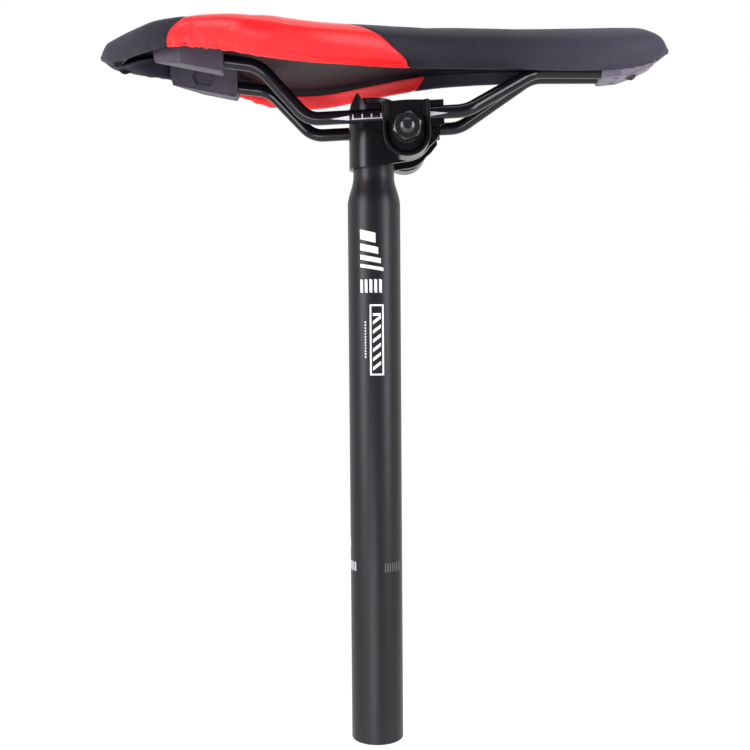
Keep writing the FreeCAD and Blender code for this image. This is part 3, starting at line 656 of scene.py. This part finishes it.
def seam_g(x, y, z, d):
    """Positive inside a red side panel; about the distance to the seam in mm."""
    shift = 4.4 if y > 0 else 0.0
    if d < 0:
        z = min(z, f_ze(x) + 0.3)
    rear = (x - SEAM_REAR(z)) * 0.80
    front = (SEAM_FRONT(z) + shift - x) * 0.72
    if d < -0.5:
        front += -(d + 0.5) * (0.52 if y > 0 else 0.40)
    top = abs(y) - (13.0 + 5.0 * ((x + 45) / 46) ** 2) + 14.0 * ease((1.0 - d) / 3.0)
    k = 3.0
    vals = np.array([rear, front, top])
    return float(-k * math.log(np.exp(-np.clip(vals, -200, 200) / k).sum())) if vals.min() > -30 else float(vals.min())


bm = bmesh.new()
bm.from_mesh(cover.data)
lay = bm.verts.layers.float["edge_d"]
g = {}
for v in bm.verts:
    p = v.co * 1000
    g[v] = seam_g(p.x, p.y, p.z, v[lay])
cut_edges = []
for e in bm.edges:
    a, b = e.verts
    if (g[a] > 0) != (g[b] > 0):
        t = g[a] / (g[a] - g[b])
        if t < 0.08:
            g[a] = 0.0
        elif t > 0.92:
            g[b] = 0.0
# move points that lie almost on the seam onto it, then split what crosses it
for e in list(bm.edges):
    a, b = e.verts
    if g[a] * g[b] < 0:
        cut_edges.append(e)
new_verts = []
for e in cut_edges:
    a, b = e.verts
    t = g[a] / (g[a] - g[b])
    ga, gb = g[a], g[b]
    ne, nv = bmesh.utils.edge_split(e, a, t)
    g[nv] = 0.0
    new_verts.append(nv)
on = [v for v in bm.verts if g.get(v, 1) == 0.0]
bmesh.ops.connect_verts(bm, verts=on, check_degenerate=False)
bm.verts.ensure_lookup_table()
bm.verts.index_update()
inside = []
for f in bm.faces:
    s = sum((g[v] if v in g else 0.0) for v in f.verts)
    inside.append(s > 0)
# the seam sinks into a narrow channel
gd = {}
for v in bm.verts:
    gg = abs(g.get(v, 9.0))
    gd[v] = gg
bm.normal_update()
for v in bm.verts:
    if gd[v] < 4:
        v.co -= v.normal * (0.45 * math.exp(-(gd[v] / 0.9) ** 2)) * MM
face_side = {}
for f, ins in zip(bm.faces, inside):
    cy = sum(v.co.y for v in f.verts)
    f.material_index = (1 if cy < 0 else 2) if ins else 0
bm.to_mesh(cover.data)
bm.free()


def take(src, index, name, thickness, mat, cad):
    b = bmesh.new()
    b.from_mesh(src.data)
    bmesh.ops.delete(b, geom=[f for f in b.faces if f.material_index != index], context="FACES")
    for f in b.faces:
        f.material_index = 0
        f.smooth = True
    me = bpy.data.meshes.new(name)
    b.to_mesh(me)
    b.free()
    o = bpy.data.objects.new(name, me)
    COL.objects.link(o)
    sol = o.modifiers.new("thickness", "SOLIDIFY")
    sol.thickness = thickness
    sol.offset = -1
    sol.use_even_offset = False
    apply_modifiers(o)
    o.data.polygons.foreach_set("use_smooth", [True] * len(o.data.polygons))
    set_material(o, mat)
    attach(o, "saddle")
    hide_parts(cad)
    return o


cover_black = take(cover, 0, "cover_black", 0.0011, M_COVER, "cover_main")
panel_r = take(cover, 1, "side_panel_red_right", 0.0011, M_RED, "side_panel_right")
panel_l = take(cover, 2, "side_panel_red_left", 0.0011, M_RED, "side_panel_left")
bpy.data.objects.remove(cover)

# foam core under the skin
def foam_mesh():
    xs = np.linspace(-141, 150, 90)
    rings = []
    for x in xs:
        x = float(x)
        we, ze, wm, zm, zt = section(x)
        q, d = half_profile(x, 3.3)
        w = we - 1.35
        z0 = over(x, w, w, ze) + 1.0
        arch = [(yy, zz) for (yy, zz), dd in zip(q, d) if dd > 0 and zz > z0 + 0.8]
        y0 = max(w + 0.05, arch[0][0] - 0.9)
        arch = resample([(y0, z0)] + arch, 26)
        bot = [(w * math.cos(math.pi / 2 * i / 14), 0) for i in range(1, 15)]
        bot = [(yy, over(x, yy, w, ze) + 0.6) for yy, _ in bot]
        half = [tuple(p) for p in arch[::-1]] + bot        # crown -> edge -> centre below
        ring = half + [(-yy, zz) for yy, zz in half[::-1][1:-1]]
        rings.append([(x, yy, zz) for yy, zz in ring])
    n, r = len(rings), len(rings[0])
    verts = [Vector(p) * MM for ring in rings for p in ring]
    faces = []
    for i in range(n - 1):
        for j in range(r):
            a, b = i * r + j, i * r + (j + 1) % r
            faces.append((a, b, b + r, a + r))
    faces.append(tuple(range(r)))
    faces.append(tuple(range((n - 1) * r, n * r))[::-1])
    o = mesh_object("foam_core", verts, faces)
    fix_normals(o)
    return o


foam = foam_mesh()
set_material(foam, M_FOAM)
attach(foam, "saddle")
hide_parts("foam_pad")


# ------------------------------------------------------------------ printed marks
def curved_patch(to3d, normal, polys, lift=0.00003, depth=0.00002):
    """polys: lists of grid rows in flat coordinates. Each becomes a closed thin skin."""
    verts, faces = [], []
    for rows in polys:
        nr, nc = len(rows), len(rows[0])
        base = len(verts)
        for off in (lift, -depth):
            for row in rows:
                for u, v in row:
                    verts.append(to3d(u, v) + normal(u, v) * off)
        m = nr * nc
        for i in range(nr - 1):
            for j in range(nc - 1):
                a = base + i * nc + j
                faces.append((a, a + 1, a + nc + 1, a + nc))
                faces.append((a + m, a + m + nc, a + m + nc + 1, a + m + 1))
        ring = [j for j in range(nc)] + [i * nc + nc - 1 for i in range(1, nr)] + [(nr - 1) * nc + j for j in range(nc - 2, -1, -1)] + [i * nc for i in range(nr - 2, 0, -1)]
        for a, b in zip(ring, ring[1:] + ring[:1]):
            faces.append((base + a, base + a + m, base + b + m, base + b))
    return verts, faces


def quad_rows(p00, p10, p01, p11, nu=8, nv=2):
    rows = []
    for j in range(nv + 1):
        t = j / nv
        a = (p00[0] + (p01[0] - p00[0]) * t, p00[1] + (p01[1] - p00[1]) * t)
        b = (p10[0] + (p11[0] - p10[0]) * t, p10[1] + (p11[1] - p10[1]) * t)
        rows.append([(a[0] + (b[0] - a[0]) * i / nu, a[1] + (b[1] - a[1]) * i / nu) for i in range(nu + 1)])
    return rows


R_POST = 0.0143


def post_pt(u, v):
    # u: mm round the tube from the -Y side towards +X; v: height in mm
    a = -math.pi / 2 + u * MM / R_POST
    return Vector((R_POST * math.cos(a), R_POST * math.sin(a), v * MM))


def post_n(u, v):
    a = -math.pi / 2 + u * MM / R_POST
    return Vector((math.cos(a), math.sin(a), 0))


def bar(u0, u1, v0, v1, slant=0.0, nu=8):
    return quad_rows((u0, v0), (u1, v0 + slant), (u0, v1), (u1, v1 + slant), nu)


polys = []
U0, U1 = -7.9, 4.9
# upper block: a ladder of slanted bars that get shorter, with a notch row
v = 280.5
for k, (a, b, h) in enumerate(((U0, U1 - 4.2, 5.2), (U0, U1 - 2.8, 3.6), (U0, U1 - 1.4, 2.6), (U0, U1, 1.8))):
    polys.append(bar(a, b, v - h, v, slant=-2.2))
    v -= h + 2.3
for k in range(5):
    polys.append(bar(U0 + 2.6 * k, U0 + 2.6 * k + 1.5, 247.0, 254.0, slant=-0.4, nu=3))
# lower block: plain frame with diagonal hatching
a, b, lo, hi = U0 + 5.2, U1, 202.6, 240.5
polys += [bar(a, b, hi - 0.9, hi), bar(a, b, lo, lo + 0.9), bar(a, a + 0.9, lo, hi, nu=2), bar(b - 0.9, b, lo, hi, nu=2)]
for k in range(7):
    z0 = lo + 2.6 + k * 4.9
    polys.append(quad_rows((a + 1.7, z0), (b - 1.7, z0 + 3.2), (a + 1.7, z0 + 1.9), (b - 1.7, z0 + 5.1), 5) if z0 + 5.1 < hi - 1.2 else bar(a + 1.7, b - 1.7, z0 - 0.2, z0 + 1.2))
# fine dotted rule beside it
for k in range(13):
    polys.append(bar(U0 + 2.4, U0 + 3.1, 212.0 + k * 1.55, 212.9 + k * 1.55, nu=1))
vv, ff = curved_patch(post_pt, post_n, polys)
marks = mesh_object("post_marks", vv, ff, smooth=False)
fix_normals(marks)
set_material(marks, M_INK)
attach(marks, "post")

# least insertion: a row of short strokes round the sides and back
polys, dim = [], []
for deg in list(range(-88, -50, 7)) + [d for d in range(96, 268, 8)]:
    u = math.radians(deg) * 14.3
    h = 5.0
    polys.append(bar(u - 0.3, u + 0.3, 95.5, 95.5 + h, nu=1))
for deg in range(20, 64, 6):
    u = math.radians(deg) * 14.3
    dim.append(bar(u - 0.3, u + 0.3, 95.5, 100.5, nu=1))
u = math.radians(-79) * 14.3
polys.append(bar(u - 0.35, u + 0.35, 107.5, 112.5, slant=0.2, nu=1))
vv, ff = curved_patch(post_pt, post_n, polys)
ins = mesh_object("insertion_marks", vv, ff, smooth=False)
fix_normals(ins)
set_material(ins, M_INK)
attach(ins, "post")
vv, ff = curved_patch(post_pt, post_n, dim)
insd = mesh_object("insertion_marks_faint", vv, ff, smooth=False)
fix_normals(insd)
set_material(insd, M_INK_DIM)
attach(insd, "post")

# scale on the outer side of each rail: band with pointed ends and notches
SLOPE = math.radians(2.61)
BOLT = Vector((0.0173, 0, 0.3302))
HR, YR, RR = 8.6 * MM, 22.0 * MM, 3.5 * MM
AX = Vector((math.cos(SLOPE), 0, math.sin(SLOPE)))
UPV = Vector((-math.sin(SLOPE), 0, math.cos(SLOPE)))


def rail_scale(side, name):
    def n3(u, v):
        a = v / 3.5                      # v: mm round the rod, 0 = facing outwards and a little down
        return (Vector((0, side, 0)) * math.cos(a - 0.20) + UPV * math.sin(a - 0.20)).normalized()

    def p3(u, v):
        return BOLT + UPV * HR + Vector((0, side * YR, 0)) + AX * (u * MM) + n3(u, v) * RR

    polys = []
    # fine base line with upright ticks, and a solid arrow head at each end
    x0, x1 = -28.2, 12.0
    polys.append(quad_rows((x0, -1.45), (x1, -1.45), (x0, -1.0), (x1, -1.0), 40, 1))
    x = x0 + 0.4
    while x < x1:
        polys.append(quad_rows((x, -1.0), (x + 0.55, -1.0), (x, 1.15), (x + 0.55, 1.15), 1, 3))
        x += 4.85
    for s, e in ((x0 - 1.2, x0 - 11.0), (x1 + 0.6, x1 + 9.6)):
        rows = []
        for j in range(5):
            h = -1.75 + 2.4 * j / 4
            rows.append([(s + (e - s) * i / 8, -0.55 + (h + 0.55) * max(1 - i / 8, 0.03)) for i in range(9)])
        polys.append(rows)
    v_, f_ = curved_patch(p3, n3, polys)
    o = mesh_object(name, v_, f_, smooth=False)
    fix_normals(o)
    set_material(o, M_INK_SCALE)
    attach(o, "saddle")
    return o


rail_scale(-1, "rail_scale_right")
rail_scale(1, "rail_scale_left")

# ------------------------------------------------------------------ stage
floor = mesh_object("floor", [(-6, -6, -0.26), (6, -6, -0.26), (6, 6, -0.26), (-6, 6, -0.26)], [(0, 1, 2, 3)], smooth=False)
fm = Mat("floor_paper")
fm.link(fm.mix(fm.noise(3, 3), (0.88, 0.88, 0.885), (0.91, 0.91, 0.91)), fm.b.inputs["Base Color"])
# lit from below like a light table, more towards the back
fs = fm.nt.nodes.new("ShaderNodeSeparateXYZ")
fm.link(fm.co, fs.inputs[0])
fm.b.inputs["Emission Color"].default_value = (1, 1, 1, 1)
fm.link(fm.range(fs.outputs["Y"], -0.4, 2.0, 0.08, 0.42, smooth=True), fm.b.inputs["Emission Strength"])
fm.link(fm.range(fm.noise(20, 3), 0.3, 0.7, 0.75, 0.85), fm.b.inputs["Roughness"])
set_material(floor, fm.m)

world = bpy.data.worlds.new("studio")
bpy.context.scene.world = world
world.use_nodes = True
wt = world.node_tree
bg = wt.nodes["Background"]
bg.inputs[1].default_value = 1.0
tc = wt.nodes.new("ShaderNodeTexCoord")
sp = wt.nodes.new("ShaderNodeSeparateXYZ")
wt.links.new(tc.outputs["Generated"], sp.inputs[0])
mr = wt.nodes.new("ShaderNodeMapRange")
mr.interpolation_type = "SMOOTHSTEP"
for i, q in zip(("From Min", "From Max", "To Min", "To Max"), (-0.50, 0.30, 0.17, 1.0)):
    mr.inputs[i].default_value = q
wt.links.new(sp.outputs["Y"], mr.inputs["Value"])
wt.links.new(mr.outputs["Result"], bg.inputs[0])


def area(name, loc, target, size, power, size_y=None, color=(1, 1, 1)):
    li = bpy.data.lights.new(name, "AREA")
    li.energy = power
    li.color = color
    li.size = size
    if size_y:
        li.shape = "RECTANGLE"
        li.size_y = size_y
    o = bpy.data.objects.new(name, li)
    COL.objects.link(o)
    o.location = loc
    o.rotation_mode = "QUATERNION"
    o.rotation_quaternion = (Vector(target) - Vector(loc)).to_track_quat("-Z", "Y")
    return o


area("key_left", (-0.80, -0.62, 0.42), (0, 0, 0.25), 0.40, 9, size_y=0.8, color=(0.97, 0.935, 1.0))
area("fill_right", (0.85, -0.62, 0.42), (0, 0, 0.25), 0.32, 8, size_y=0.8, color=(0.97, 0.935, 1.0))
area("strip_low", (-0.30, -1.0, -0.20), (0, 0, 0.36), 0.50, 3.0, size_y=0.10, color=(0.97, 0.94, 1.0))
area("top", (0.0, -0.1, 1.3), (0, 0, 0.38), 0.9, 6, size_y=0.6)

# ------------------------------------------------------------------ camera
F, Y0, PITCH, ROLL = 1051.6, 407.2, math.radians(3.411), math.radians(0.42)
cam_d = bpy.data.cameras.new("camera")
cam = bpy.data.objects.new("camera", cam_d)
COL.objects.link(cam)
cam_d.sensor_width = 36
cam_d.lens = F / 750 * 36
cam_d.shift_y = (Y0 - 375) / 750
cam_d.clip_start, cam_d.clip_end = 0.01, 30
fwd = Vector((0, math.cos(PITCH), -math.sin(PITCH)))
right = Vector((1, 0, 0))
up = Vector((0, math.sin(PITCH), math.cos(PITCH)))
r2 = right * math.cos(ROLL) - up * math.sin(ROLL)
u2 = right * math.sin(ROLL) + up * math.cos(ROLL)
m = Matrix((r2, u2, -fwd)).transposed().to_4x4()
m.translation = Vector((-0.00021, -0.5777, 0.2191))
cam.matrix_world = m
bpy.context.scene.camera = cam
